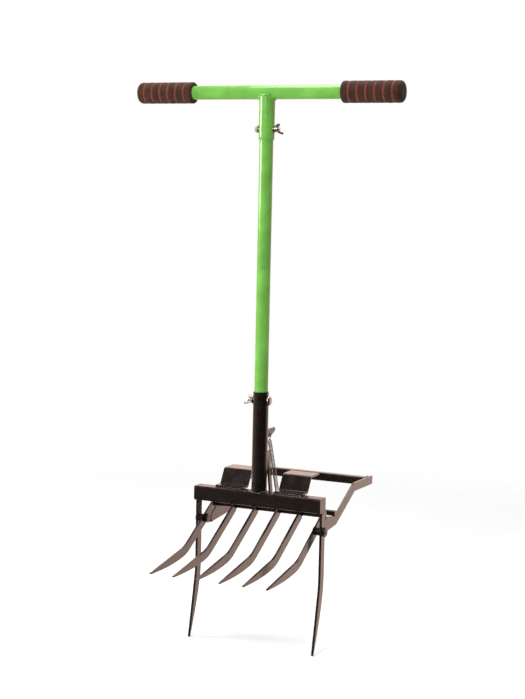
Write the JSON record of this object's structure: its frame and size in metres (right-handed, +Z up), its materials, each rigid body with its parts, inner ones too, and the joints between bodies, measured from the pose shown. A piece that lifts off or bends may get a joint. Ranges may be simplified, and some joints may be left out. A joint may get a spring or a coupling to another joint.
{
  "type": "lawn aerator fork",
  "caption": "Soil fork with a T-handle, foot treads, long end tines and a spring-held comb of curved tines that pivots under its beam.",
  "frame": {"origin": "centre of the front beam's underside, straight below the shaft", "axes": "+Z up along the shaft, +X across the beam to the right, +Y back towards the rear bar"},
  "size_m": [0.575, 0.5505, 1.1456],
  "materials": {
    "green_paint": "gloss",
    "black_paint": "semi-gloss",
    "zinc": "zinc plated",
    "spring_steel": "bright",
    "foam": "matt foam with thin red rings"
  },
  "bodies": {
    "fork": {"handle_bar": "green_paint", "handle_socket": "green_paint", "grip_left": "foam", "grip_right": "foam", "handle_bolt": "zinc", "handle_washer_head": "zinc", "handle_washer_nut": "zinc", "upper_shaft": "green_paint", "lower_shaft": "green_paint", "shaft_sleeve": "zinc", "lower_socket": "black_paint", "socket_bolt": "zinc", "socket_washer_head": "zinc", "socket_washer_nut": "zinc", "spring_lug": "black_paint", "spring": "spring_steel", "front_beam": "black_paint", "beam_end_plate_left": "black_paint", "beam_end_plate_right": "black_paint", "long_tine_left": "black_paint", "long_tine_right": "black_paint", "tread_left": "black_paint", "tread_right": "black_paint", "pivot_bolt_left": "black_paint", "pivot_bolt_right": "black_paint", "pivot_spacer_left": "black_paint", "pivot_spacer_right": "black_paint", "pivot_nut_left": "black_paint", "pivot_nut_right": "black_paint"},
    "comb_frame": {"outer_tine_left": "black_paint", "outer_tine_right": "black_paint", "inner_tine_1": "black_paint", "inner_tine_2": "black_paint", "inner_tine_3": "black_paint", "inner_tine_4": "black_paint", "comb_rod": "black_paint", "side_arm_left": "black_paint", "side_arm_right": "black_paint", "spring_rod": "black_paint", "rear_bar": "black_paint", "stop_arm": "black_paint"},
    "handle_nut": {"handle_wing_nut": "zinc"},
    "socket_nut": {"socket_wing_nut": "zinc"}
  },
  "joints": [
    {"name": "comb_pivot", "type": "hinge", "parent": "fork", "child": "comb_frame", "pos_m": [0, 0.005, -0.04], "axis": [-1, 0, 0], "range_deg": [0, 35], "stiffness_Nm_per_rad": 30, "springref_deg": -5.73, "deforming": ["spring"]},
    {"name": "handle_nut_turn", "type": "hinge", "parent": "fork", "child": "handle_nut", "pos_m": [0.022, 0, 0.765], "axis": [1, 0, 0], "continuous": true},
    {"name": "socket_nut_turn", "type": "hinge", "parent": "fork", "child": "socket_nut", "pos_m": [-0.022, 0, 0.218], "axis": [-1, 0, 0], "continuous": true}
  ]
}
